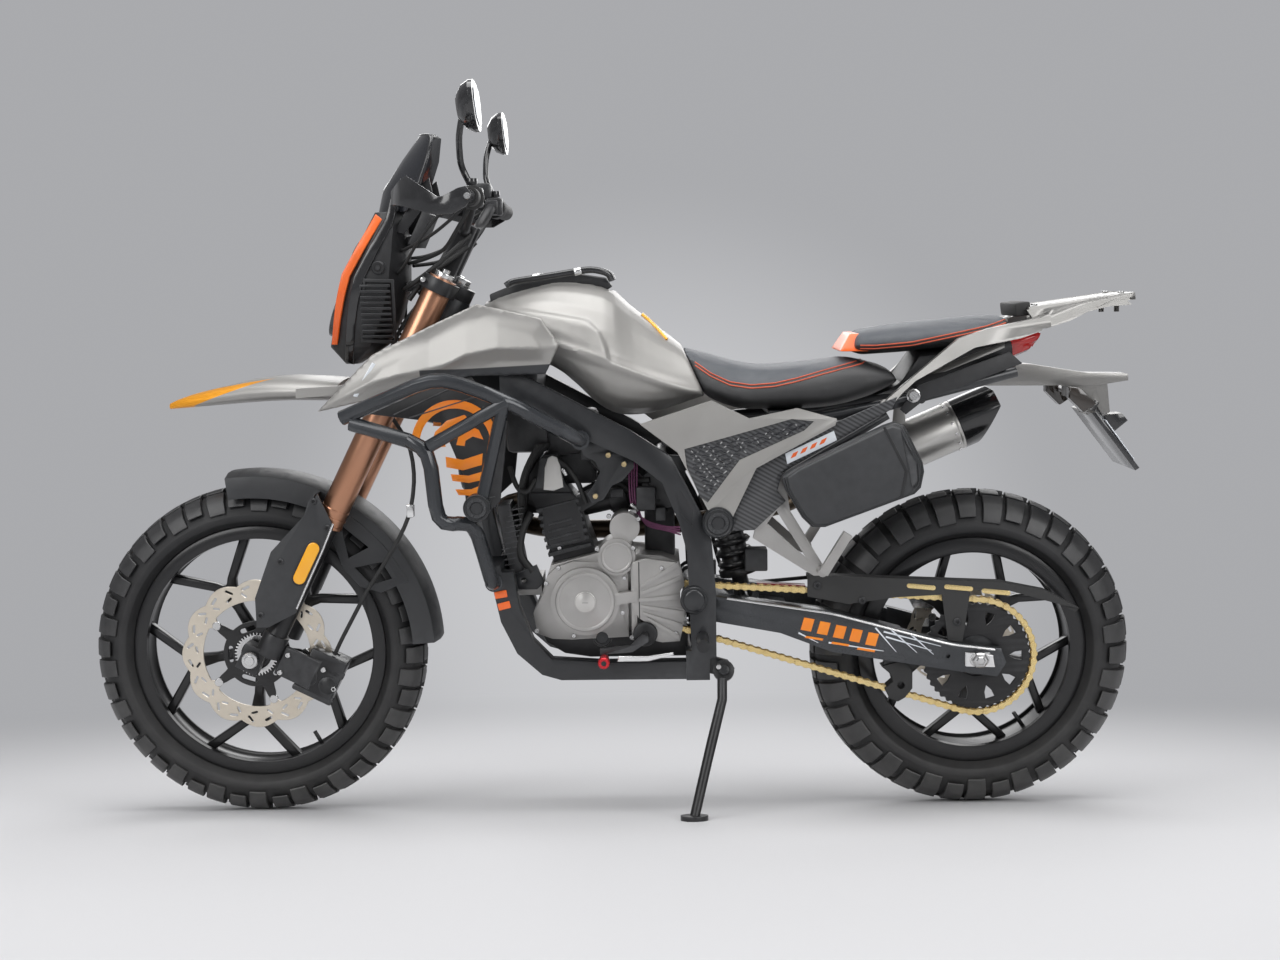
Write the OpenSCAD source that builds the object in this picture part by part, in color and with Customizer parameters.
// Light adventure motorcycle, parked on its side stand.
// Drawn upright first: x runs rearward from the front axle, y to the rider's right, z up.
// The whole machine is then leaned to its left and centred over the origin.

/* [Stance] */
// Lean to the left on the side stand, degrees
lean = 10; // [8:0.5:12]
// Distance between the axles
wheelbase = 1410; // [1400:1:1420]
// Rake of the fork from upright, degrees
rake = 26.6; // [26:0.1:27.2]
// Distance of the front axle ahead of the steering axis
steer_offset = 50; // [48:0.5:52]
// Distance of the front axle ahead of the fork legs
leg_offset = 23.5; // [22:0.5:25]

/* [Wheels] */
// Front tyre outer radius
front_r = 330; // [326:1:332]
// Rear tyre outer radius
rear_r = 316; // [312:1:318]
// Front tyre width
front_w = 112; // [106:1:116]
// Rear tyre width
rear_w = 143; // [136:1:146]
// Height of the knobs over the carcass
knob_h = 9; // [6:0.5:11]
// Height of the front tyre over its bead seat
front_wall = 90; // [86:1:94]
// Height of the rear tyre over its bead seat
rear_wall = 102; // [98:1:106]
// Lugs round the front tyre
front_lugs = 26; // [24:1:28]
// Lugs round the rear tyre
rear_lugs = 24; // [22:1:26]
// Width between the rim flanges, front
front_rim_w = 66; // [60:1:70]
// Width between the rim flanges, rear
rear_rim_w = 92; // [86:1:96]
// Number of forked spokes in a wheel
spokes = 5; // [5:1:6]
// Thickness of the spokes across the wheel
spoke_t = 24; // [18:1:28]
// Axle radius
axle_r = 9; // [8:0.5:10]

/* [Brakes and drive] */
// Front disc outer radius
disc_r = 142; // [136:1:146]
// Rear disc outer radius
rear_disc_r = 110; // [104:1:114]
// Thickness of the discs
disc_t = 4; // [3.5:0.5:4.5]
// Distance of the front disc from the wheel's middle plane
disc_y = 60; // [58:0.5:62]
// Distance of the rear disc from the wheel's middle plane
rear_disc_y = 84; // [82:0.5:86]
// Chain pitch
pitch = 15.875; // [15.875]
// Teeth on the rear sprocket
rear_teeth = 44; // [43:1:45]
// Teeth on the front sprocket
front_teeth = 15; // [14:1:16]
// Distance of the chain line from the middle plane
chain_y = 100; // [99:0.5:101]

/* [Fork and bars] */
// Distance of a fork leg from the middle plane
leg_y = 97; // [96:0.5:98]
// Radius of the upper fork tubes
tube_r = 27; // [25:0.5:28]
// Radius of the sliders
slider_r = 20.5; // [19:0.5:21]
// Height of the upper tubes' lower ends, along the fork from the axle
tube_low = 300; // [290:1:310]
// Radius of the steering stem
stem_r = 20; // [18:0.5:22]
// Radius of the handlebar
bar_r = 11; // [11:0.1:11.2]
// Distance of the bar ends from the middle plane
bar_half = 385; // [375:1:395]
// Radius of the grips
grip_r = 17; // [16:0.5:18]

/* [Frame] */
// Radius of the head tube
head_r = 33; // [30:1:34]
// Distance of the inner faces of the side spars from the middle plane
spar_y = 134; // [133:0.5:136]
// Thickness of the side spars
spar_t = 26; // [22:1:30]
// Distance of the subframe rails from the middle plane
rail_y = 114; // [112:1:116]
// Radius of the subframe rails
rail_r = 11; // [10:0.5:12]
// Height of the swingarm pivot
pivot_z = 444; // [440:1:448]
// Distance of the swingarm pivot behind the front axle
pivot_x = 861; // [858:1:864]
// Outer faces of the swingarm from the middle plane
arm_y = 132; // [130:0.5:132]
// Radius of the crash bars
crash_r = 14; // [11:0.5:16]

/* [Rack] */
// Half width of the rear rack
rack_half = 88; // [80:1:95]
// Thickness of the rack plate
rack_t = 14; // [10:1:16]
// Radius of the rack's bolt circle
rack_pcr = 45; // [40:1:50]
// Radius of the rack's bolt holes
rack_hole_r = 3.3; // [3.2:0.1:3.5]

/* [Side stand] */
// Outward splay of the leg from the upright machine, degrees
stand_splay = 22; // [20:0.5:24]
// Forward angle of the leg when down, degrees
stand_rake = 12.5; // [10:0.5:15]
// Radius of the foot
foot_r = 26; // [22:1:30]
// Thickness of the foot
foot_t = 9; // [7:1:12]

/* [Hidden] */
$fn = 48;

// Gap left between curved faces of neighbouring pieces
gap = 0.3;
front_seat_r = front_r - front_wall;
rear_seat_r = rear_r - rear_wall;
axle_z = front_r;
rear_z = rear_r;
front_crown = 62;
rear_crown = 80;
lift = rear_crown * (1 - cos(lean));
// The outermost points of the upright machine, for centring it
plate_end_x = 1725;
guard_end_y = bar_half + 21;
// The middle height of the guards' widest corners, which sets the parked machine's width
guard_mid_z = 1187;
front_reach = front_r - front_crown * (1 - cos(lean));
centre_x = (plate_end_x - front_reach) / 2;
centre_y = -guard_mid_z * sin(lean);

steel = [0.16, 0.16, 0.17];
black = [0.07, 0.07, 0.07];
silver = [0.72, 0.74, 0.76];
chrome = [0.8, 0.8, 0.82];
copper = [0.66, 0.40, 0.24];
gold = [0.75, 0.60, 0.25];
orange = [0.95, 0.45, 0.12];

// Places and shapes shared by several pieces

module machine() {
    translate([-centre_x, -centre_y, lift]) rotate([lean, 0, 0]) children();
}
module on_floor() {
    rotate([-lean, 0, 0]) translate([0, 0, -lift]) children();
}
module at_rear_axle() { translate([wheelbase, 0, rear_z]) children(); }
module at_front_axle() { translate([0, 0, axle_z]) children(); }
module fork_frame() { translate([0, 0, axle_z]) rotate([0, rake, 0]) children(); }
module both_sides() {
    children();
    mirror([0, 1, 0]) children();
}
// A plate with an outline in x and z, between two distances from the middle plane
module side_plate(outline, y0, y1) {
    translate([0, y1, 0]) rotate([90, 0, 0]) linear_extrude(y1 - y0) polygon(outline);
}
// A cylinder along y between two distances from the middle plane
module cross_bar(x, z, r, y0, y1) {
    translate([x, y1, z]) rotate([90, 0, 0]) cylinder(h = y1 - y0, r = r);
}
// A revolved shape about the y axis, its outline in radius and y
module wheel_ring(outline, turn = 360, sides = 72) {
    rotate([90, 0, 0]) rotate_extrude(angle = turn, $fn = sides)
        polygon([for (p = outline) [p[0], -p[1]]]);
}
function arc(c, r, a0, a1, n) =
    [for (i = [0:n]) let (a = a0 + (a1 - a0) * i / n) [c[0] + r * cos(a), c[1] + r * sin(a)]];
function unit(v) = v / norm(v);
function fork_point(u, w) =
    [u * cos(rake) + w * sin(rake), axle_z - u * sin(rake) + w * cos(rake)];

// Smooth bends: each inner point of a path becomes a short curve
function bend(a, b, c, r) =
    let (s = b + unit(a - b) * min(r, norm(a - b) * 0.45),
         e = b + unit(c - b) * min(r, norm(c - b) * 0.45))
    [for (t = [0, 0.35, 0.65, 1]) (1 - t) * (1 - t) * s + 2 * t * (1 - t) * b + t * t * e];
function soft_path(p, r) = concat([p[0]],
    [for (i = [1:1:len(p) - 2]) each bend(p[i - 1], p[i], p[i + 1], r)], [p[len(p) - 1]]);
function heading(p, i) = unit(p[min(i + 1, len(p) - 1)] - p[max(i - 1, 0)]);

// A closed solid through rings of points, all with as many points
module skin(rings) {
    n = len(rings[0]);
    m = len(rings);
    points = [for (ring = rings) each ring];
    walls = [for (i = [0:m - 2]) for (j = [0:n - 1]) let (k = (j + 1) % n)
        each [[i * n + j, (i + 1) * n + j, (i + 1) * n + k], [i * n + j, (i + 1) * n + k, i * n + k]]];
    first = [for (j = [0:n - 1]) j];
    last = [for (j = [n - 1:-1:0]) (m - 1) * n + j];
    polyhedron(points = points, faces = concat(walls, [first], [last]));
}
module tube(path, r, sides = 12, side_way = [0, 1, 0]) {
    skin([for (i = [0:len(path) - 1])
        let (t = heading(path, i), s = unit(cross(side_way, t)), b = cross(t, s))
        [for (j = [0:sides - 1]) path[i] + r * (cos(360 * j / sides) * s + sin(360 * j / sides) * b)]]);
}
// Corner cutting, which rounds a closed outline
function cut_once(p) = [for (i = [0:len(p) - 1]) let (q = p[(i + 1) % len(p)])
    each [0.75 * p[i] + 0.25 * q, 0.25 * p[i] + 0.75 * q]];
function rounded(p, times) = times == 0 ? p : rounded(cut_once(p), times - 1);

// A smooth run through rows of numbers, with the given steps between two rows
function between(a, b, c, d, t) = 0.5 * (2 * b + (c - a) * t + (2 * a - 5 * b + 4 * c - d) * t * t
    + (3 * b - a - 3 * c + d) * t * t * t);
function smooth_rows(rows, steps) = concat(
    [for (i = [0:len(rows) - 2], k = [0:steps - 1]) between(rows[max(i - 1, 0)], rows[i], rows[i + 1],
        rows[min(i + 2, len(rows) - 1)], k / steps)], [rows[len(rows) - 1]]);

// A body drawn by upright cross sections, one row each:
// x at the bottom, x at the top, bottom z, top z, half widths low, middle and high, share of height
module body_loft(rows, times = 2) {
    skin([for (s = rows) let (zm = s[2] + (s[3] - s[2]) * s[7], xm = s[0] + (s[1] - s[0]) * s[7])
        rounded([[s[0], s[4], s[2]], [xm, s[5], zm], [s[1], s[6], s[3]],
                 [s[1], -s[6], s[3]], [xm, -s[5], zm], [s[0], -s[4], s[2]]], times)]);
}

// Wheels

// The tyre's section, with the tread at its full height or sunk between the lugs.
// One point of the crown is at the lean, where the parked tyre meets the ground.
flange_h = 11;
bulge_h = 34;
tread_edge = 6;
function tyre_section(r, w, bead_r, flange_r, rim_w, crown, sunk) =
    let (half = w / 2, edge = asin((half - tread_edge) / crown), flat = rim_w / 2 - gap, c = crown - sunk,
        wall_r = flange_r + bulge_h - flange_h)
    concat([[bead_r, -flat], [flange_r, -flat], [wall_r, -half]],
        [for (a = [-edge, -edge * 0.55, -lean, lean, edge * 0.55, edge])
            [r - crown + c * cos(a), c * sin(a)]],
        [[wall_r, half], [flange_r, flat], [bead_r, flat]]);
// A knobbly tyre: each pitch has a lug, a step down, a groove and a step up
lug_share = 0.66;
step_share = 0.05;
module tyre(r, w, seat_r, rim_w, crown, lugs) {
    // The flats between two stations stay outside the rim's circles
    spread = 1 / cos(lug_share * 180 / lugs);
    bead_r = (seat_r + gap) * spread;
    flange_r = (seat_r + flange_h + gap) * spread;
    high = tyre_section(r, w, bead_r, flange_r, rim_w, crown, 0);
    low = tyre_section(r, w, bead_r, flange_r, rim_w, crown, knob_h);
    stations = [for (i = [0:lugs - 1], f = [[0, 0], [lug_share, 0], [lug_share + step_share, 1],
        [1 - step_share, 1]]) [90 - (i + f[0]) * 360 / lugs, f[1]]];
    n = len(high);
    m = len(stations);
    points = [for (t = stations) for (q = t[1] == 0 ? high : low)
        [-q[0] * cos(t[0]), q[1], -q[0] * sin(t[0])]];
    faces = [for (i = [0:m - 1], j = [0:n - 1]) let (u = (i + 1) % m, k = (j + 1) % n)
        each [[i * n + j, i * n + k, u * n + k], [i * n + j, u * n + k, u * n + j]]];
    polyhedron(points = points, faces = faces);
}
// A cast wheel: rim barrel, forked spokes and hub
module cast_rim(seat_r, rim_w, open_r, hub_r, hub_half, turn) {
    half = rim_w / 2;
    difference() {
        union() {
            wheel_ring([[open_r, -half - 4], [seat_r + flange_h, -half - 4], [seat_r + flange_h, -half],
                [seat_r, -half], [seat_r, -half + 14], [seat_r - 10, -half + 22],
                [seat_r - 10, half - 22], [seat_r, half - 14], [seat_r, half],
                [seat_r + flange_h, half], [seat_r + flange_h, half + 4], [open_r, half + 4],
                [open_r + 4, half - 10], [open_r + 4, -half + 10]], sides = 96);
            cross_bar(0, 0, hub_r, -hub_half, hub_half);
            for (i = [0:spokes - 1]) rotate([0, -turn - i * 360 / spokes, 0]) forked_spoke(open_r, hub_r);
        }
        cross_bar(0, 0, axle_r + gap, -hub_half - 1, hub_half + 1);
    }
}
module forked_spoke(open_r, hub_r) {
    fork_x = open_r * 0.55;
    tip = 22.5;
    end_r = open_r + 7;
    half = spoke_t / 2;
    side_plate([[0, -13], [fork_x - 12, -11], [fork_x + 20, -24],
        end_r * [cos(tip + 3), -sin(tip + 3)], end_r * [cos(tip - 3), -sin(tip - 3)], [fork_x + 22, 0],
        end_r * [cos(tip - 3), sin(tip - 3)], end_r * [cos(tip + 3), sin(tip + 3)],
        [fork_x + 20, 24], [fork_x - 12, 11], [0, 13]], -half, half);
}
front_open_r = front_seat_r - 16;
rear_open_r = rear_seat_r - 21;
module front_tyre() {
    color(black) machine() at_front_axle()
        tyre(front_r, front_w, front_seat_r, front_rim_w, front_crown, front_lugs);
}
module rear_tyre() {
    color(black) machine() at_rear_axle()
        tyre(rear_r, rear_w, rear_seat_r, rear_rim_w, rear_crown, rear_lugs);
}
front_hub_half = 52;
rear_hub_half = 60;
front_hub_r = 36;
rear_hub_r = 44;
module front_rim() {
    color(black) machine() at_front_axle()
        cast_rim(front_seat_r, front_rim_w, front_open_r, front_hub_r, front_hub_half, 47);
}
module rear_rim() {
    color(black) machine() at_rear_axle()
        cast_rim(rear_seat_r, rear_rim_w, rear_open_r, rear_hub_r, rear_hub_half, 52);
}
// A wavy disc on a carrier with its bolts, on one side of the wheel
wave_count = 10;
module brake_disc(r, band, carrier_r, y, hub_half, side) {
    y0 = side * y - disc_t / 2;
    difference() {
        side_plate([for (i = [0:119]) let (a = i * 3) (r - 2 + 2 * cos(wave_count * a)) * [cos(a), sin(a)]],
            y0, y0 + disc_t);
        cross_bar(0, 0, r - band, y0 - 1, y0 + disc_t + 1);
    }
    difference() {
        union() {
            cross_bar(0, 0, carrier_r, y0, y0 + disc_t);
            for (i = [0:4]) rotate([0, i * 72, 0])
                side_plate([[carrier_r - 4, -9], [r - band + 2, -5], [r - band + 2, 5], [carrier_r - 4, 9]],
                    y0, y0 + disc_t);
            for (i = [0:4]) rotate([0, i * 72, 0])
                cross_bar(carrier_r + 9, 0, 9, y0 - 1.5, y0 + disc_t + 1.5);
            cross_bar(0, 0, carrier_r * 0.6, min(y0, side * hub_half), max(y0 + disc_t, side * hub_half));
        }
        cross_bar(0, 0, axle_r + 4, -200, 200);
    }
}
module front_disc() {
    color(silver) machine() at_front_axle() brake_disc(disc_r, 43, 74, disc_y, front_hub_half, -1);
}
module rear_disc() {
    color(silver) machine() at_rear_axle() brake_disc(rear_disc_r, 30, 60, rear_disc_y, rear_hub_half, 1);
}

// Drive

rear_pr = pitch / 2 / sin(180 / rear_teeth);
front_pr = pitch / 2 / sin(180 / front_teeth);
front_sprocket = [800, 430];
rear_sprocket_at = [wheelbase, rear_z];
roller_r = 5;
sprocket_t = 6;
tooth_tip_r = rear_pr - roller_r - 0.8;
module rear_sprocket() {
    color(black) machine() at_rear_axle() difference() {
        union() {
            side_plate([for (i = [0:rear_teeth * 4 - 1])
                let (a = 360 * i / rear_teeth / 4) (tooth_tip_r - (i % 4 < 2 ? 0 : 5)) * [cos(a), sin(a)]],
                -chain_y - sprocket_t / 2, -chain_y + sprocket_t / 2);
            cross_bar(0, 0, 58, -chain_y + sprocket_t / 2, -rear_hub_half);
        }
        for (i = [0:4]) rotate([0, i * 72, 0]) cross_bar(78, 0, 17, -chain_y - 5, -chain_y + 5);
        cross_bar(0, 0, axle_r + 4, -chain_y - 5, -rear_hub_half + 1);
    }
}
// The chain's line: a tangent along the top, round the rear, back below, round the front
run_len = norm(rear_sprocket_at - front_sprocket);
run_dir = atan2(rear_sprocket_at[1] - front_sprocket[1], rear_sprocket_at[0] - front_sprocket[0]);
run_cone = acos((front_pr - rear_pr) / run_len);
function chain_loop(off, n = 8) = concat(
    arc(front_sprocket, front_pr + off, run_dir + run_cone, run_dir + 360 - run_cone, n),
    arc(rear_sprocket_at, rear_pr + off, run_dir - run_cone, run_dir + run_cone, 2 * n));
plate_h = 14;
plate_out = 8;
link_gap = 0.8;
module chain_band(half_h, y0, y1) {
    difference() {
        side_plate(chain_loop(half_h), y0, y1);
        side_plate(chain_loop(-half_h), y0 - 1, y1 + 1);
    }
}
module chain() {
    color(gold) machine() {
        chain_band(plate_h / 2, -chain_y - plate_out, -chain_y - sprocket_t / 2 - link_gap);
        chain_band(plate_h / 2, -chain_y + sprocket_t / 2 + link_gap, -chain_y + plate_out);
        chain_band(2.5, -chain_y - plate_out + 1, -chain_y + plate_out - 1);
    }
}
module chain_guard() {
    color(black) machine() {
        side_plate([[1081, 482], [1270, 472], [1453, 463], [1540, 445], [1606, 409], [1598, 402], [1532, 437],
            [1450, 456], [1270, 465], [1081, 475]], -arm_y + 18, -chain_y + 16);
        side_plate([[1081, 482], [1270, 472], [1453, 463], [1540, 445], [1606, 409], [1560, 420], [1470, 446],
            [1395, 448], [1380, 346.4], [1352, 351], [1340, 440], [1250, 436], [1160, 424], [1081, 440]],
            -arm_y + 14, -arm_y + 18);
    }
}

// Frame

head_low = 626;
head_high = 799;
neck_low = fork_point(steer_offset, head_low + 30);
neck_high = fork_point(steer_offset, head_high - 30);
spar_line = [[500, 893], [560, 868], [746, 768], [821, 718], [874, 615], [896, 557], [903, 461], [903, 330],
    [856, 330], [852, 469], [849, 535], [834, 594], [803, 670], [749, 712], [560, 800], [500, 820]];
cradle_outer = [[472, 500], [480, 455], [491, 404], [521, 342], [568, 300], [605, 289], [870, 288]];
cradle_inner = [[870, 322], [683, 322], [588, 329], [552, 367], [527, 431], [516, 500]];
cradle_y0 = 112;
cradle_y1 = 150;
shock_top = [905, 700];
shock_low = [962, 432];
pin_r = 8;
stand_at = [916, -165, 306];
module stand_frame() { translate(stand_at) rotate([-stand_splay, 0, 0]) children(); }
stand_pin_r = 6;
module frame() {
    color(steel) machine() difference() {
        union() {
            fork_frame() translate([steer_offset, 0, head_low])
                cylinder(h = head_high - head_low, r = head_r);
            side_plate([neck_low, neck_high, [570, 893], [570, 820], [470, 800]], -28, 28);
            side_plate([[535, 905], [570, 893], [570, 805], [535, 815]], -spar_y - 1, spar_y + 1);
            both_sides() side_plate(spar_line, spar_y, spar_y + spar_t);
            side_plate([[418, 850], [425, 590], [455, 500], [492, 500], [468, 600], [462, 850]], -22, 22);
            side_plate([[455, 512], [492, 512], [500, 470], [465, 470]], -cradle_y1, cradle_y1);
            both_sides() side_plate(concat(cradle_outer, cradle_inner), cradle_y0, cradle_y1);
            both_sides() side_plate([[845, 288], [890, 288], [890, 345], [845, 345]],
                cradle_y0, spar_y + spar_t);
            cross_bar(860, 302, 13, -cradle_y0 - 5, cradle_y0 + 5);
            cross_bar(shock_top[0], shock_top[1], pin_r, -spar_y - 1, spar_y + 1);
            cross_bar(800, 706, 14, -spar_y - 1, spar_y + 1);
            both_sides() side_plate([[812, 690], [925, 690], [925, 712], [812, 720]], spar_y - 8, spar_y + 2);
            side_plate([[880, 300], [925, 290], [938, 306], [925, 322], [880, 335]], -spar_y - 12, -spar_y);
            stand_frame() {
                cross_bar(0, 0, 17, 4.7, 24);
                cross_bar(0, 0, stand_pin_r, -16, 10);
                cross_bar(0, 0, 9.5, -17, -12);
            }
        }
        fork_frame() translate([steer_offset, 0, head_low - 10])
            cylinder(h = head_high - head_low + 20, r = stem_r + gap);
        cross_bar(pivot_x, pivot_z, axle_r + gap, -spar_y - 60, spar_y + 60);
        both_sides() side_plate([[829, 650], [838, 655], [862, 615], [860, 585], [838, 610]],
            spar_y + spar_t - 3, spar_y + spar_t + 1);
    }
}
rail_line = [[805, 745], [960, 776], [1119, 786], [1230, 806], [1480, 868]];
strut_line = [[905, 600], [1235, 789]];
module subframe() {
    color(steel) machine() both_sides() {
        tube([for (p = rail_line) [p[0], rail_y, p[1]]], rail_r);
        tube([for (p = strut_line) [p[0], rail_y, p[1]]], rail_r - 2);
        cross_bar(905, 600, 9, rail_y, spar_y - gap);
        cross_bar(812, 745, 9, rail_y, spar_y - gap);
        side_plate([[1010, 786], [1075, 786], [1075, 799.2], [1010, 799.2]], -gap, rail_y);
        cross_bar(1300, 817.2, 8, -gap, rail_y);
    }
}

// Engine

cyl_foot = [632, 514];
cyl_tilt = 14;
deck_half = 49;
deck_front = cyl_foot - deck_half * [cos(cyl_tilt), sin(cyl_tilt)];
deck_rear = cyl_foot + deck_half * [cos(cyl_tilt), sin(cyl_tilt)];
case_line = [[562, 434], [550, 411], [557, 371], [586, 360], [623, 358], [702, 368], [800, 352], [836, 380],
    [836, 505], [800, 518], [720, 524], deck_rear, deck_front, [578, 483]];
bulge_line = [[550, 411], [557, 371], [586, 360], [623, 358], [735, 362], [735, 505], [630, 512], [596, 501],
    [578, 483], [573, 453], [562, 434]];
fan_line = [[745, 466], [741, 432], [755, 402], [781, 387], [781, 358], [800, 354], [834, 356], [846, 411],
    [843, 475], [836, 509], [770, 518], [745, 512]];
cover_at = [652, 436];
starter_at = [714, 521];
motor_at = [730, 577];
module engine_cases() {
    color(silver) machine() {
        side_plate(case_line, -84, 84);
        side_plate(bulge_line, -100, -84);
        cross_bar(cover_at[0], cover_at[1], 66, -120, -100);
        cross_bar(cover_at[0], cover_at[1], 58, -126, -120);
        cross_bar(cover_at[0], cover_at[1], 20, -130, -126);
        side_plate([[706, 428], [752, 435], [752, 456], [704, 450]], -122, -100);
        cross_bar(starter_at[0], starter_at[1], 36, -112, -30);
        cross_bar(starter_at[0], starter_at[1], 30, -116, -112);
        cross_bar(motor_at[0], motor_at[1], 29, -104, -32);
        side_plate([[700, 540], [738, 530], [748, 566], [712, 574]], -100, -60);
        cross_bar(785, 440, 52, 84, 92);
        cross_bar(690, 430, 74, 84, 112);
        cross_bar(683, 361, 19, -96, -84);
        difference() {
            union() {
                side_plate(fan_line, -119, -112);
                for (q = fan_ribs) side_plate(q, -124, -119);
            }
            cross_bar(pivot_x, pivot_z, 27, -125, -111);
        }
        side_plate([[741, 358], [752, 358], [752, 508], [741, 508]], -113, -84);
        cross_bar(767, 371, 17, -124, -119);
        cross_bar(front_sprocket[0], front_sprocket[1], front_pr - roller_r - 0.8, -chain_y - sprocket_t / 2,
            -chain_y + sprocket_t / 2);
        cross_bar(front_sprocket[0], front_sprocket[1], 14, -chain_y - sprocket_t / 2, -80);
        side_plate([[470, 440], [565, 440], [565, 470], [500, 470]], -60, 60);
        side_plate([[800, 345], [856, 316.5], [856, 330], [836, 400], [800, 362]], -80, 80);
    }
}
// Ribs that fan out over the sprocket cover
fan_ribs = [for (q = [[[759, 464], [833, 508]], [[759, 451], [837, 480]], [[756, 438], [842, 444]],
    [[759, 426], [843, 411]], [[764, 412], [839, 386]], [[772, 402], [833, 364]]])
    [q[0] - [0, 3], q[1] - [0, 5], q[1] + [0, 5], q[0] + [0, 3]]];
barrel_line = [[560, 606], [575, 546], [590, 508], deck_front + [2, 2], deck_rear - [6, 0],
    [656, 575], [646, 620], [626, 640], [545, 640]];
cover_line = [[541, 640], [544, 674], [561, 703], [573, 714], [601, 716], [613, 661], [627, 640]];
fin_count = 7;
module engine_cylinder() {
    color(black) machine() {
        side_plate(barrel_line, -56, 56);
        side_plate(cover_line, -48, 48);
        side_plate([[556, 650], [566, 708], [598, 711], [614, 650]], -56, -47);
        both_sides() side_plate([[636, 598], [675, 620], [688, 638], [676, 654], [636, 634]], 44, 62);
        translate([cyl_foot[0], 0, cyl_foot[1]]) rotate([0, -cyl_tilt, 0])
            for (i = [0:fin_count - 1]) translate([-50, -66, 14 + i * 15]) cube([86, 132, 7]);
        side_plate(concat(port_face, [[566, 636], [566, 592]]), 14, 56);
    }
}
port_mid = [520, 614];
port_dir = [-cos(cyl_tilt), -sin(cyl_tilt)];
port_face = [for (s = [-22, 22]) port_mid + s * [-sin(cyl_tilt), cos(cyl_tilt)]];
port_at = port_mid + 2 * gap * port_dir;
muffler_at = [1136, 150, 629.8];
muffler_len = 300;
muffler_rise = 23;
muffler_r = 51;
muffler_dir = [cos(muffler_rise), 0, sin(muffler_rise)];
pipe_line = [[port_at[0], 40, port_at[1]], [port_at[0] + 38 * port_dir[0], 40, port_at[1] + 38 * port_dir[1]],
    [500, 80, 570], [560, 105, 548], [700, 106, 545], [850, 100, 556], [960, 92, 575], [1060, 100, 592],
    muffler_at - 30 * muffler_dir, muffler_at];
pipe_r = 19;
// The plates that hang the cylinder's head from the side spars
mount_line = [[645, 748], [661, 752], [712, 740], [748, 720], [750, 694], [727, 668], [707, 659], [690, 632],
    [668, 626], [659, 643], [674, 665], [685, 687], [675, 706], [653, 719]];
module engine_mounts() {
    color(steel) machine() both_sides() {
        side_plate(mount_line, 100, 106);
        cross_bar(700, 742, 8, 105, spar_y - gap);
        cross_bar(675, 640, 9, 62 + gap, 101);
        for (q = [[701, 719], [731, 701], [675, 640]]) cross_bar(q[0], q[1], 7, 105, 111);
    }
}
filter_outline = [[764, 604], [846, 612], [850, 684], [784, 688], [764, 668]];
module throttle_body() {
    color(black) machine() {
        side_plate(filter_outline, -58, 58);
        translate([648.9, 0, 610.5]) rotate([0, 78, 0]) cylinder(h = 124, r = 22);
        translate([700, 0, 621]) rotate([0, 78, 0]) cylinder(h = 34, r = 29);
    }
}
module exhaust_pipe() {
    color(copper) machine() tube(soft_path(pipe_line, 50), pipe_r, 14, [0, 0.3, 1]);
}
module muffler() {
    color(silver) machine() {
        translate(muffler_at) rotate([0, 90 - muffler_rise, 0]) {
            translate([0, 0, gap]) cylinder(h = 42, r1 = pipe_r + 4, r2 = muffler_r);
            translate([0, 0, 42]) cylinder(h = muffler_len - 42, r = muffler_r);
        }
        side_plate([[1276, 730], [1306, 738], [1300, 828], [1284, 826]],
            rail_y + rail_r + 5 + gap, rail_y + rail_r + 11);
    }
}

// A slanted end cap with an open outlet
module muffler_cap() {
    color(black) machine() difference() {
        translate(muffler_at) rotate([0, 90 - muffler_rise, 0]) difference() {
            translate([0, 0, muffler_len + gap]) cylinder(h = 90, r = muffler_r + 1);
            translate([0, 0, muffler_len + 12]) cylinder(h = 90, r = 30);
        }
        side_plate([[1400, 600], [1459, 716], [1494, 788], [1488, 812], [1440, 846], [1440, 900], [1600, 900],
            [1600, 600]], 80, 220);
    }
}

// Bodywork

tank_rows = [
    [470, 462, 880, 1012, 66, 96, 58, 0.55],
    [500, 492, 868, 1026, 96, 128, 66, 0.55],
    [560, 560, 896, 1044, 120, 172, 80, 0.42],
    [617, 617, 872, 1054, 120, 190, 84, 0.36],
    [697, 697, 800, 1044, 128, 182, 82, 0.43],
    [765, 745, 790, 1004, 120, 160, 70, 0.42],
    [830, 800, 806, 960, 112, 140, 62, 0.36],
    [889, 845, 826, 925, 100, 116, 60, 0.30]];
module tank() {
    color(silver) machine() difference() {
        body_loft(smooth_rows(tank_rows, 3));
        side_plate([[440, 860], [490, 900], [535, 905.6], [570, 893.6], [580, 868], [746, 776], [850, 720],
            [440, 700]], -spar_y - spar_t - 6, spar_y + spar_t + 6);
        side_plate([[415, 988], [430, 988], [578, 898], [578, 780], [415, 780]], -30, 30);
        side_plate([[473, 996], [530, 1025.6], [617, 1043.6], [700, 1031.6], [713, 1031.6], [713, 1100],
            [473, 1100]], -console_half - gap, console_half + gap);
    }
}
console_half = 40;
console_line = [[478, 1000], [530, 1026], [617, 1044], [700, 1032], [712, 1040], [700, 1057], [632, 1068],
    [530, 1050], [474, 1028]];
module tank_console() { color(black) machine() side_plate(console_line, -console_half, console_half); }
shroud_line = [[150, 811], [261, 919], [379, 974], [465, 1012], [588, 984], [621, 935], [594, 880],
    [449, 877]];
shroud_yaw = 7.5;
module shrouds() {
    color(silver) machine() both_sides() {
        translate([150, 134, 0]) rotate([0, 0, shroud_yaw]) translate([-150, 0, 0])
            side_plate(shroud_line, 0, 8);
        cross_bar(515, 884, 7, spar_y + spar_t + gap, 186);
    }
}
low_panel_line = [[247, 808], [386, 862], [449, 876.3], [517, 790], [499, 640], [436, 584], [430, 690],
    [390, 790]];
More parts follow.
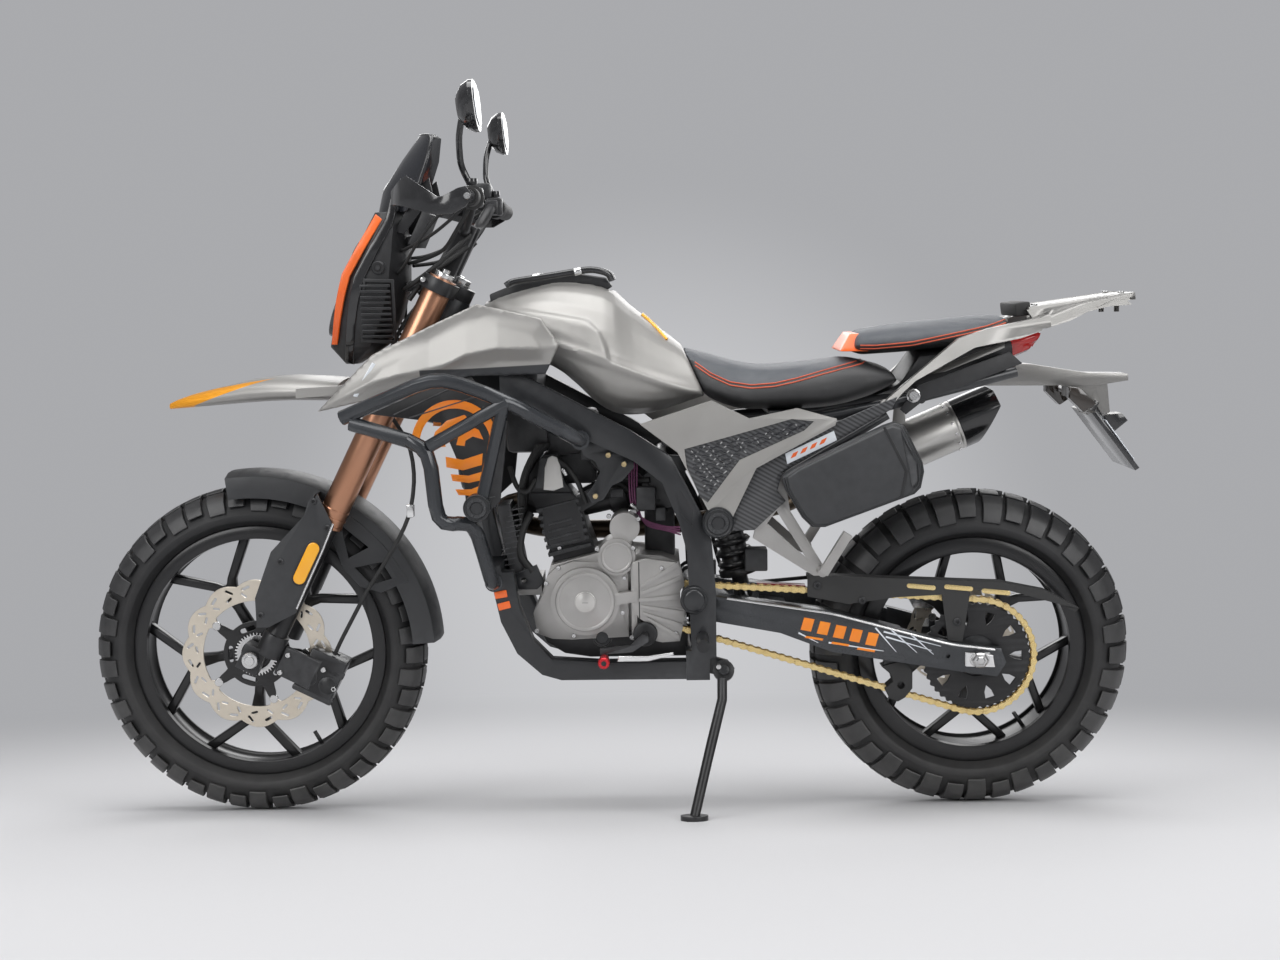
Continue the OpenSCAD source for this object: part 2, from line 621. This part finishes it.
module lower_panels() {
    color(black) machine() both_sides() translate([247, 150, 0]) rotate([0, 0, 5]) translate([-247, 0, 0])
        side_plate(low_panel_line, 0, 6);
}
beak_rows = [
    [-163, -163, 812, 824, 14, 18, 14, 0.5],
    [-120, -120, 815, 840, 30, 38, 26, 0.5],
    [0, 0, 824, 868, 60, 76, 48, 0.5],
    [90, 90, 828, 876, 84, 104, 60, 0.5],
    [176, 188, 827, 868, 98, 122, 84, 0.5]];
module beak() {
    color(silver) machine() {
        body_loft(smooth_rows(beak_rows, 2));
        both_sides() {
            side_plate([[110, 838], [236, 846], [244, 866], [190, 860], [110, 856]], 114, 133.4);
            cross_bar(225, 853, 8, 133, 142.5);
        }
    }
}
seat_rows = [
    [890, 846, 826, 925, 92, 118, 62, 0.3],
    [950, 924, 802, 894, 118, 140, 84, 0.4],
    [1006, 1006, 800, 880, 124, 146, 100, 0.5],
    [1119, 1119, 802, 888, 124, 146, 108, 0.5],
    [1200, 1170, 822, 894, 118, 140, 100, 0.5],
    [1262, 1240, 850, 876, 104, 122, 98, 0.5]];
module rider_seat() { color(black) machine() body_loft(smooth_rows(seat_rows, 3)); }
pillion_rows = [
    [1170, 1184, 903, 946, 84, 100, 66, 0.5],
    [1260, 1260, 908, 956, 112, 124, 86, 0.5],
    [1380, 1380, 918, 966, 112, 122, 84, 0.5],
    [1478, 1470, 930, 974, 82, 90, 62, 0.5]];
module pillion_seat() { color(black) machine() body_loft(smooth_rows(pillion_rows, 3)); }
side_panel_line = [[763, 782], [898, 825], [969, 790], [1059, 808], [1133, 787], [1130, 775], [981, 696],
    [933, 598], [892, 612], [833, 728]];
mesh_line = [[846, 734], [1048, 788], [1090, 783], [1072, 766], [950, 712], [889, 632], [876, 642],
    [850, 700]];
slider_at = [908, 594];
module side_panels() {
    color(silver) machine() both_sides() {
        difference() {
            side_plate(side_panel_line, 163, 172);
            side_plate(mesh_line, 167, 173);
        }
        cross_bar(slider_at[0], slider_at[1], 27, 163, 180);
        cross_bar(1010, 779, 8, rail_y + rail_r + gap, 164);
    }
}
low_side_line = [[981, 700], [1130, 779], [1218, 815], [1248, 826], [1237, 803], [1031, 688], [1021, 651],
    [1037, 632], [977, 577], [935, 576], [920, 596]];
module lower_side_panels() {
    color(black) machine() both_sides() {
        side_plate(low_side_line, 154, 162.4);
        cross_bar(960, 631.5, 7, rail_y + rail_r - 2 + gap, 155);
    }
}
tail_rows = [
    [1215, 1270, 822, 848, 70, 92, 80, 0.5],
    [1300, 1300, 826, 910, 76, 96, 84, 0.6],
    [1400, 1400, 850, 919, 66, 88, 76, 0.6],
    [1486, 1480, 882, 928, 46, 66, 56, 0.6]];
under_line = [[1257, 800], [1293, 845], [1400, 884], [1464, 906], [1488, 884], [1376, 842], [1300, 815],
    [1268, 790]];
module tail_unit() {
    color(black) machine() {
        body_loft(tail_rows);
        both_sides() {
            side_plate(under_line, rail_y + rail_r + gap, rail_y + rail_r + 5);
            side_plate([[1420, 866], [1462, 882], [1462, 900], [1420, 886]], 70, rail_y + rail_r + 1);
        }
    }
}
light_rows = [
    [1485.6, 1479.6, 888, 934, 40, 56, 48, 0.55],
    [1520, 1528, 902, 944, 34, 52, 44, 0.55],
    [1532, 1544, 916, 940, 26, 44, 36, 0.55]];
module tail_light() { color("red") machine() body_loft(light_rows, 1); }
rack_x = 1510;
rack_len = 203;
rack_z = 975;
rack_slope = 7.3;
rack_mid = 104;
grab_y = 133;
grab_t = 20;
grab_line = [[1214, 806], [1239, 829], [1363, 933], [1419, 951], [1497, 967], [1520, 967], [1520, 946],
    [1480, 932], [1394, 916], [1283, 855], [1258, 832], [1232, 802]];
module rear_rack() {
    color(silver) machine() {
        translate([rack_x, 0, rack_z]) rotate([0, -rack_slope, 0]) difference() {
            translate([0, -rack_half, 0]) cube([rack_len, 2 * rack_half, rack_t]);
            for (i = [0:3]) translate([rack_mid, 0, -1]) rotate([0, 0, 45 + i * 90])
                translate([rack_pcr, 0, 0]) cylinder(h = rack_t + 2, r = rack_hole_r);
            for (s = [-1, 1]) translate([30, s * 62 - 9, -1]) cube([rack_len - 60, 18, rack_t + 2]);
        }
        both_sides() {
            side_plate(grab_line, grab_y, grab_y + grab_t);
            side_plate([[1306, 866], [1330, 880], [1449, 924], [1449, 913], [1340, 871]], grab_y, grab_y + 8);
            side_plate([[1440, 912], [1452, 914], [1452, 934], [1440, 930]], grab_y, grab_y + 8);
            side_plate([[1498, 946], [1536, 952], [1536, 976], [1498, 964]], rack_half - 24, grab_y + grab_t);
            side_plate([[1504, 984], [1560, 988], [1690, 1004], [1704, 991], [1660, 988], [1622, 979],
                [1585, 961], [1542, 948], [1530, 948]], rack_half - 18, rack_half);
            cross_bar(1228, 811, 9, rail_y + rail_r + gap, grab_y + 6);
        }
        for (x = [1668, 1698]) translate([x, 0, 976]) cylinder(h = 24, r = 5);
    }
}
plate_top = [1632, 784];
plate_low = [plate_end_x - 8, 672];
module plate_holder() {
    color(silver) machine() {
        side_plate([[1404, 850.9], [1440, 864.3], [1478, 878.4], [1526, 877], [1638, 858], [1714, 856],
            [1715, 843], [1655, 834], [1588, 835], [1404, 837]], -32, 32);
        side_plate([[1598, 838], [1640, 850], [1676, 840], [1682, 781], [1669, 773], [1653, 799],
            [1598, 812]], -24, 24);
        side_plate([[1650, 806], [1660, 800], [plate_top[0] + 14, 772], [plate_top[0] + 2, 778]], -30, 30);
        side_plate([plate_top, [plate_top[0] + 8, 787], [plate_end_x, 677], plate_low], -85, 85);
        side_plate([[1670, 776], [1706, 778], [1718, 764], [1691, 742], [1680, 752]], -22, 22);
    }
}
lamp_line = [[1582, 837], [1604, 834], [1633, 804], [1609, 788], [1582, 815]];
module indicators() {
    color(orange) machine() both_sides() {
        cross_bar(1606, 822, 6, 24 + gap, 90);
        side_plate(lamp_line, 84, 116);
    }
}
box_line = [[1028, 681], [1052, 697], [1219, 774], [1237, 780], [1256, 775], [1290, 706], [1293, 688],
    [1287, 658], [1275, 646], [1108, 586], [1083, 586], [1064, 605], [1034, 656]];
box_mid = [1160, 684];
box_y = 163;
box_deep = 45;
function shrunk(line, mid, share) = [for (p = line) mid + (p - mid) * share];
module toolbox() {
    color(steel) machine() {
        side_plate(box_line, -box_y - box_deep + 8, -box_y);
        side_plate(shrunk(box_line, box_mid, 0.94), -box_y - box_deep, -box_y - box_deep + 9);
        side_plate([[1165, 728], [1195, 740], [1195, 758], [1165, 745]], -164, -rail_y - rail_r + 2 - gap);
    }
}
crash_top = [[212, -228, 806], [396, -262, 883], [520, -262, 836], [650, -194, 756],
    [650, -spar_y - spar_t - 8, 754]];
crash_front = [[230, -232, 796], [376, -262, 754], [389, -258, 606], [452, -240, 612], [466, -200, 545],
    [478, -cradle_y1 - 26, 484], [480, -cradle_y1 - 6, 482]];
module crash_bars() {
    color(steel) machine() both_sides() {
        tube(soft_path(crash_top, 45), crash_r, 10, [0.1, 0.2, 1]);
        tube(soft_path(crash_front, 40), crash_r, 10, [0, 1, 0]);
        cross_bar(650, 754, 18, spar_y + spar_t + gap, spar_y + spar_t + 14);
        cross_bar(480, 482, 17, cradle_y1 + gap, cradle_y1 + 12);
        tube([[376, -262, 754], [522, -262, 834]], crash_r - 2, 10);
        tube([[515, -260, 830], [462, -244, 620]], crash_r - 2, 10);
        cross_bar(462, 640, 25, 236, 268);
    }
}
module foot_controls() {
    color(black) machine() {
        both_sides() {
            cross_bar(880, 372, 9, spar_y + spar_t + gap, 172);
            cross_bar(876, 372, 12, 172, 250);
        }
        cross_bar(767, 371, 6, -150, -124.3);
        side_plate([[762, 378], [773, 374], [773, 364], [742, 344], [680, 340], [680, 351], [738, 356]],
            -160, -150);
        side_plate([[683, 346], [694, 346], [694, 330], [683, 330]], -160, -150);
        cross_bar(688, 331, 9, -196, -150);
        side_plate([[868, 376], [890, 376], [884, 352], [700, 330], [700, 342], [868, 362]], 162, 170);
        cross_bar(704, 337, 7, 170, 205);
    }
}
module pillion_hangers() {
    color(silver) machine() both_sides() {
        difference() {
            side_plate([[985, 600], [1006, 676], [1036, 676], [1046, 610], [1112, 500], [1104, 486],
                [1090, 486], [975, 560]], 140, 150);
            side_plate([[1002, 588], [1020, 612], [1076, 520]], 130, 160);
        }
        cross_bar(1021, 664, 9, rail_y + rail_r - 2 + gap, 141);
        cross_bar(1104, 498, 9, 149, 186);
        translate([1104, 194, 498]) rotate([0, 32, 0]) translate([-9, -8, 0]) cube([18, 16, 88]);
    }
}
module rear_shock() {
    run = shock_low - shock_top;
    long = norm(run);
    color(orange) machine() translate([shock_top[0], 0, shock_top[1]]) rotate([0, atan2(run[0], run[1]), 0])
        difference() {
            union() {
                for (w = [0, long]) translate([0, 14, w]) rotate([90, 0, 0]) cylinder(h = 28, r = 19);
                translate([0, 0, 12]) cylinder(h = long - 24, r = 16);
                for (i = [0:7]) translate([0, 0, 54 + i * 22]) {
                    cylinder(h = 6, r1 = 33, r2 = 38);
                    translate([0, 0, 6]) cylinder(h = 6, r1 = 38, r2 = 33);
                }
                translate([0, 0, 36]) cylinder(h = 14, r = 38);
                translate([0, 0, long - 50]) cylinder(h = 14, r = 38);
                translate([0, 0, 40]) cylinder(h = long - 80, r = 27);
            }
            for (w = [0, long]) translate([0, 30, w]) rotate([90, 0, 0]) cylinder(h = 60, r = pin_r + gap);
        }
}
arm_plate = [[890, 447], [1125, 413], [1358, 349], [1452, 336], [1462, 308], [1445, 281], [1358, 294],
    [1125, 334], [1027, 372], [890, 398]];
arm_inner = [[890, 447], [1125, 413], [1262, 375], [1262, 316], [1125, 336], [1027, 374], [890, 398]];
bobbin_at = [1350, 322];
bobbin_r = 4;
bobbin_depth = 14;
module swingarm() {
    color(silver) machine() difference() {
        union() {
            cross_bar(pivot_x, pivot_z, 20, -88, 88);
            both_sides() {
                cross_bar(pivot_x, pivot_z, 24, 112, arm_y);
                side_plate([[pivot_x, pivot_z + 20], [892, 447], [892, 398], [pivot_x, pivot_z - 22]],
                    112, arm_y);
                side_plate(arm_plate, 112, arm_y);
                side_plate(arm_inner, 88, 112);
            }
            side_plate([[pivot_x, pivot_z + 16], [900, 442], [935, 420], [935, 400], [900, 398],
                [pivot_x, pivot_z - 16]], -88, 88);
            cross_bar(shock_low[0], shock_low[1], pin_r, -89, 89);
            side_plate([[1000, 408], [1050, 400], [1050, 376], [1000, 384]], -88, 88);
        }
        cross_bar(pivot_x, pivot_z, axle_r + gap, -spar_y, spar_y);
        cross_bar(wheelbase, rear_z, axle_r + gap, -arm_y - 5, arm_y + 5);
        for (s = [-1, 1]) translate([bobbin_at[0], s * (arm_y - bobbin_depth), bobbin_at[1]])
            rotate([-s * 90, 0, 0]) cylinder(h = bobbin_depth + 5, r = bobbin_r);
    }
}
module swingarm_axle() {
    color(chrome) machine() {
        cross_bar(pivot_x, pivot_z, axle_r, -spar_y - spar_t - 4, spar_y + spar_t + 4);
        both_sides() cross_bar(pivot_x, pivot_z, 19, spar_y + spar_t + gap, spar_y + spar_t + 7);
    }
}
module rear_axle() {
    color(chrome) machine() at_rear_axle() {
        cross_bar(0, 0, axle_r, -arm_y - 14, arm_y + 14);
        both_sides() {
            cross_bar(0, 0, 15, arm_y + 4.5, arm_y + 12);
            side_plate([[-28, -13], [20, -13], [20, 13], [-28, 13]], arm_y + gap, arm_y + 4.5);
            cross_bar(0, 0, 12, 105, 112 - gap);
        }
        difference() {
            side_plate([[-80, 118], [-110, 90], [-96, 62], [-52, 62], [-38, 92]], 72, 104);
            side_plate([[-80, 125], [-115, 90], [-90, 56], [-45, 52], [-30, 92]],
                rear_disc_y - 4, rear_disc_y + 4);
        }
        side_plate([[-90, 20], [-62, 20], [-60, 66], [-90, 66]], 92, 112 - gap);
    }
}

// Fork and steering

module fork_tubes() {
    color(copper) machine() fork_frame() both_sides() translate([leg_offset, leg_y, tube_low])
        cylinder(h = tube_top - tube_low, r = tube_r);
}
module fork_lowers() {
    color(steel) machine() fork_frame() both_sides() difference() {
        union() {
            translate([leg_offset, leg_y, 30]) cylinder(h = tube_low - gap - 30, r = slider_r);
            translate([leg_offset, leg_y, 18]) cylinder(h = 46, r = slider_r + 5);
            translate([-22, leg_y - 20, -26]) cube([44, 40, 52]);
        }
        translate([0, leg_y - 40, 0]) rotate([-90, 0, 0]) cylinder(h = 80, r = axle_r + gap);
    }
}
clamp_t = 26;
bar_u = 19;
// The tubes end just over the upper clamp, and the bar stands on risers
tube_top = head_high + clamp_t + 3;
bar_w = tube_top + 99;
module clamp_plate(w) {
    translate([0, 0, w]) difference() {
        union() {
            both_sides() translate([leg_offset, leg_y, 0]) cylinder(h = clamp_t, r = tube_r + 9);
            translate([steer_offset, 0, 0]) cylinder(h = clamp_t, r = 32);
            translate([leg_offset - 16, -leg_y, 0]) cube([40, 2 * leg_y, clamp_t]);
        }
        both_sides() translate([leg_offset, leg_y, -1]) cylinder(h = clamp_t + 2, r = tube_r + 0.2);
    }
}
module fork_clamps() {
    color(black) machine() {
        fork_frame() {
            clamp_plate(head_low - clamp_t - 0.5);
            clamp_plate(head_high + 0.5);
            translate([steer_offset, 0, head_low - 4]) cylinder(h = head_high - head_low + 8, r = stem_r);
            difference() {
                for (s = [-1, 1]) translate([bar_u - 17, s * 40 - 14, head_high + clamp_t])
                    cube([34, 28, bar_w + 14 - head_high - clamp_t]);
                translate([bar_u, 80, bar_w]) rotate([90, 0, 0]) cylinder(h = 160, r = bar_r + gap);
            }
        }
        both_sides()
            side_plate([[311.2, 1035], [313, 1042], [313.4, 1055], [390, 1066], [396, 1046]], 28, 42);
    }
}
// The fender's section: height over the tyre's radius, and place across
fender_line = [[15, -60], [-20, -66], [-20, -69], [22, -66], [30, -30], [31, 0], [30, 30], [22, 66],
    [-20, 69], [-20, 66], [15, 60], [22, 28], [22, -28]];
module front_fender() {
    color(steel) machine() {
        at_front_axle() rotate([0, -3, 0]) wheel_ring([for (q = fender_line) q + [front_r, 0]], 95, 96);
        both_sides() {
            side_plate([[143, 654], [116, 612], [50, 543], [16, 453], [17, 396], [40, 396], [94, 423],
                [150, 540], [172, 590]], leg_y + tube_r + gap, leg_y + tube_r + 6);
            side_plate([[112, 600], [126, 640], [138, 652], [128, 608]], 64, leg_y + tube_r + 6);
            for (w = [120, 230]) translate([fork_point(leg_offset, w)[0], 0, fork_point(leg_offset, w)[1]])
                cross_bar(0, 0, 10, leg_y + slider_r + gap, leg_y + tube_r + 1);
        }
    }
}
mask_rows = [
    [897, 186, 214, 34, 30],
    [931, 160, 266, 62, 66],
    [985, 172, 296, 84, 86],
    [1042, 187, 312, 94, 92],
    [1120, 220, 314, 92, 88],
    [1188, 255, 308, 70, 72]];
module headlight_mask() {
    color(silver) machine() skin([for (s = mask_rows)
        rounded([[s[2], s[4], s[0]], [s[1] + 14, s[3], s[0]], [s[1], s[3] * 0.6, s[0]],
                 [s[1], -s[3] * 0.6, s[0]], [s[1] + 14, -s[3], s[0]], [s[2], -s[4], s[0]]], 1)]);
}
// height, front x at the middle, sweep back at the edge, half width
screen_rows = [
    [1188.7, 258, 62, 70],
    [1232, 268, 78, 80],
    [1290, 308, 58, 78],
    [1334, 342, 32, 58]];
screen_t = 4;
module windscreen() {
    color([0.8, 0.9, 0.95, 0.4]) machine() skin([for (s = screen_rows) concat(
        [for (i = [4:-1:-4]) let (q = i / 4) [s[1] + s[2] * q * q, s[3] * q, s[0]]],
        [for (i = [-4:4]) let (q = i / 4) [s[1] + s[2] * q * q + screen_t, s[3] * q * 0.97, s[0]]])]);
}
module instrument() {
    color(black) machine() {
        side_plate([[322, 1128], [352, 1190], [368, 1182], [340, 1120]], -62, 62);
        side_plate([[314.5, 1120], [314.5, 1140], [330, 1146], [338, 1120]], -30, 30);
    }
}
bar_mid = fork_point(bar_u, bar_w);
bar_bend = [bar_mid[0] + 30, 185, bar_mid[1] + 56];
bar_end = bar_bend + [12, bar_half - 185, -6];
bar_path = [[bar_mid[0], 86, bar_mid[1]], [bar_mid[0] + 6, 118, bar_mid[1] + 6], bar_bend, bar_end];
bar_dir = unit(bar_end - bar_bend);
function bar_point(y) = bar_bend + bar_dir * ((y - bar_bend[1]) / bar_dir[1]);
module handlebar() {
    left_half = [for (i = [len(bar_path) - 1:-1:0]) let (p = bar_path[i]) [p[0], -p[1], p[2]]];
    path = soft_path(concat(left_half, bar_path), 30);
    color(black) machine() tube(path, bar_r, 12, [1, 0, 0]);
}
// A rod from one point of the bar towards its end, with the bar's own slant
module on_bar(y0, y1, r) {
    translate(bar_point(y0)) rotate([0, acos(bar_dir[2]), atan2(bar_dir[1], bar_dir[0])])
        cylinder(h = (y1 - y0) / bar_dir[1], r = r);
}
perch_r = grip_r + 5;
module grips_and_levers() {
    color(black) machine() both_sides() {
        difference() {
            union() {
                on_bar(262, 380, grip_r);
                on_bar(218, 261, perch_r);
            }
            on_bar(200, 400, bar_r + gap);
        }
        translate([bar_end[0], 0, bar_end[2] - 8]) linear_extrude(10)
            polygon([[-24, 234], [-50, 238], [-64, 266], [-70, 370], [-62, 372], [-54, 272], [-22, 250]]);
    }
}
// The guard's shape from above and from the side, from the bar's end
guard_above = [[6, guard_end_y - 6], [-34, guard_end_y], [-82, 385], [-126, 340], [-150, 280], [-150, 214],
    [-140, 212], [-138, 276], [-114, 332], [-76, 376], [-32, guard_end_y - 7], [6, guard_end_y - 13]];
guard_side = [[-158, 3], [-150, -8], [-123, -13], [-60, -31], [-28, -31], [-4, -18], [9, 0], [-3, 17],
    [-16, 14], [-44, 0], [-54, 0], [-112, 39], [-134, 27], [-152, 14]];
module hand_guards() {
    color(black) machine() both_sides() translate([bar_end[0], 0, bar_end[2]]) {
        intersection() {
            translate([0, 0, -60]) linear_extrude(120) polygon(guard_above);
            side_plate(guard_side, 200, guard_end_y + 2);
        }
        translate([0, 0, -10]) linear_extrude(20)
            polygon([[-12, bar_half + 9], [6, bar_half + 8], [6, guard_end_y - 8], [-12, guard_end_y - 8]]);
        cross_bar(-1, 0, 9, bar_half + 0.9, bar_half + 10);
    }
}
mirror_y = 300;
mirror_mid = [484, 1361];
// Rings of the mirror's shell, from the glass to the back: place, size and how far it leans
mirror_rings = [[0, 1], [-8, 1], [-22, 0.84], [-34, 0.46]];
mirror_line = [[-66, 8], [-52, 40], [20, 47], [62, 38], [72, 10], [50, -30], [0, -46], [-50, -36]];
module mirrors() {
    perch = bar_point(236);
    color(black) machine() both_sides() {
        translate([mirror_mid[0], mirror_y, mirror_mid[1]]) rotate([0, -5, 0])
            skin([for (q = mirror_rings)
                [for (p = rounded(mirror_line, 1)) [q[0], p[0] * q[1], p[1] * q[1]]]]);
        tube(soft_path([[perch[0] - 4, 236, perch[2] + 26], [446, 240, 1262], [446, 262, 1310],
            [456, 282, 1350], [466, 290, 1356]], 16), 6, 8, [1, 0, 0]);
        translate([perch[0], 236, perch[2] + perch_r + 0.4]) cylinder(h = 12, r = 10);
    }
}
module front_axle() {
    color(chrome) machine() at_front_axle() {
        cross_bar(0, 0, axle_r, -leg_y - 24, leg_y + 24);
        both_sides() {
            cross_bar(0, 0, 14, leg_y + 20 + gap, leg_y + 27);
            cross_bar(0, 0, 13, disc_y + 3, leg_y - 20 - gap);
        }
    }
}
module front_caliper() {
    color(black) machine() fork_frame() {
        difference() {
            translate([96, -96, -24]) cube([76, 62, 92]);
            translate([60, -disc_y - 4.5, -80]) cube([88, 9, 200]);
        }
        translate([leg_offset + slider_r + 5 + gap, -102, -10]) cube([74, 12, 60]);
    }
}
hose_path = [[443, 221, 1196.5], [415, 219, 1182], [385, 190, 1150], [350, 150, 1080], [318, 95, 1010],
    [308, 0, 985], [293, -50, 950], [261, -50, 882], [251, -48, 831], [284, -50, 786], [318, -85, 740],
    [330, -118, 682], [320, -122, 613], [292, -118, 556], [226, -104, 457], [172, -90, 360],
    [157, -80, 330.6]];
module brake_hose() {
    color(black) machine() tube(soft_path(hose_path, 30), 4, 8, [0, 1, 0]);
}

// Side stand

// The leg is as long as the leaned machine's pivot is high
stand_high = stand_at[1] * sin(lean) + stand_at[2] * cos(lean) + lift;
stand_len = (stand_high - foot_t / 2) / cos(stand_rake) / cos(stand_splay - lean);
module side_stand() {
    leg = [-stand_len * sin(stand_rake), 0, -stand_len * cos(stand_rake)];
    color(black) machine() {
        stand_frame() difference() {
            union() {
                cross_bar(0, 0, 20, -11.5, 4.2);
                tube([leg * 0.055 + [0, -6.5, 0], leg * 0.2 + [8, -6.5, 0], leg * 0.5 + [4, -5, 0], leg],
                    9.5, 12);
            }
            cross_bar(0, 0, stand_pin_r + gap, -40, 40);
        }
        foot_x = stand_at[0] + leg[0];
        arm = leg[2];
        foot_y = (stand_at[1] + arm * sin(stand_splay)) * cos(lean)
            - (stand_at[2] + arm * cos(stand_splay)) * sin(lean);
        on_floor() translate([foot_x, foot_y, 0]) cylinder(h = foot_t, r = foot_r);
    }
}

frame();
subframe();
engine_cases();
engine_cylinder();
engine_mounts();
throttle_body();
exhaust_pipe();
muffler();
muffler_cap();
tank();
tank_console();
shrouds();
lower_panels();
beak();
rider_seat();
pillion_seat();
side_panels();
lower_side_panels();
tail_unit();
tail_light();
rear_rack();
plate_holder();
indicators();
toolbox();
crash_bars();
foot_controls();
pillion_hangers();
rear_shock();
swingarm();
swingarm_axle();
rear_axle();
chain();
chain_guard();
fork_tubes();
fork_lowers();
fork_clamps();
front_fender();
headlight_mask();
windscreen();
instrument();
handlebar();
grips_and_levers();
hand_guards();
mirrors();
front_axle();
front_caliper();
brake_hose();
front_tyre();
front_rim();
front_disc();
rear_tyre();
rear_rim();
rear_disc();
rear_sprocket();
side_stand();
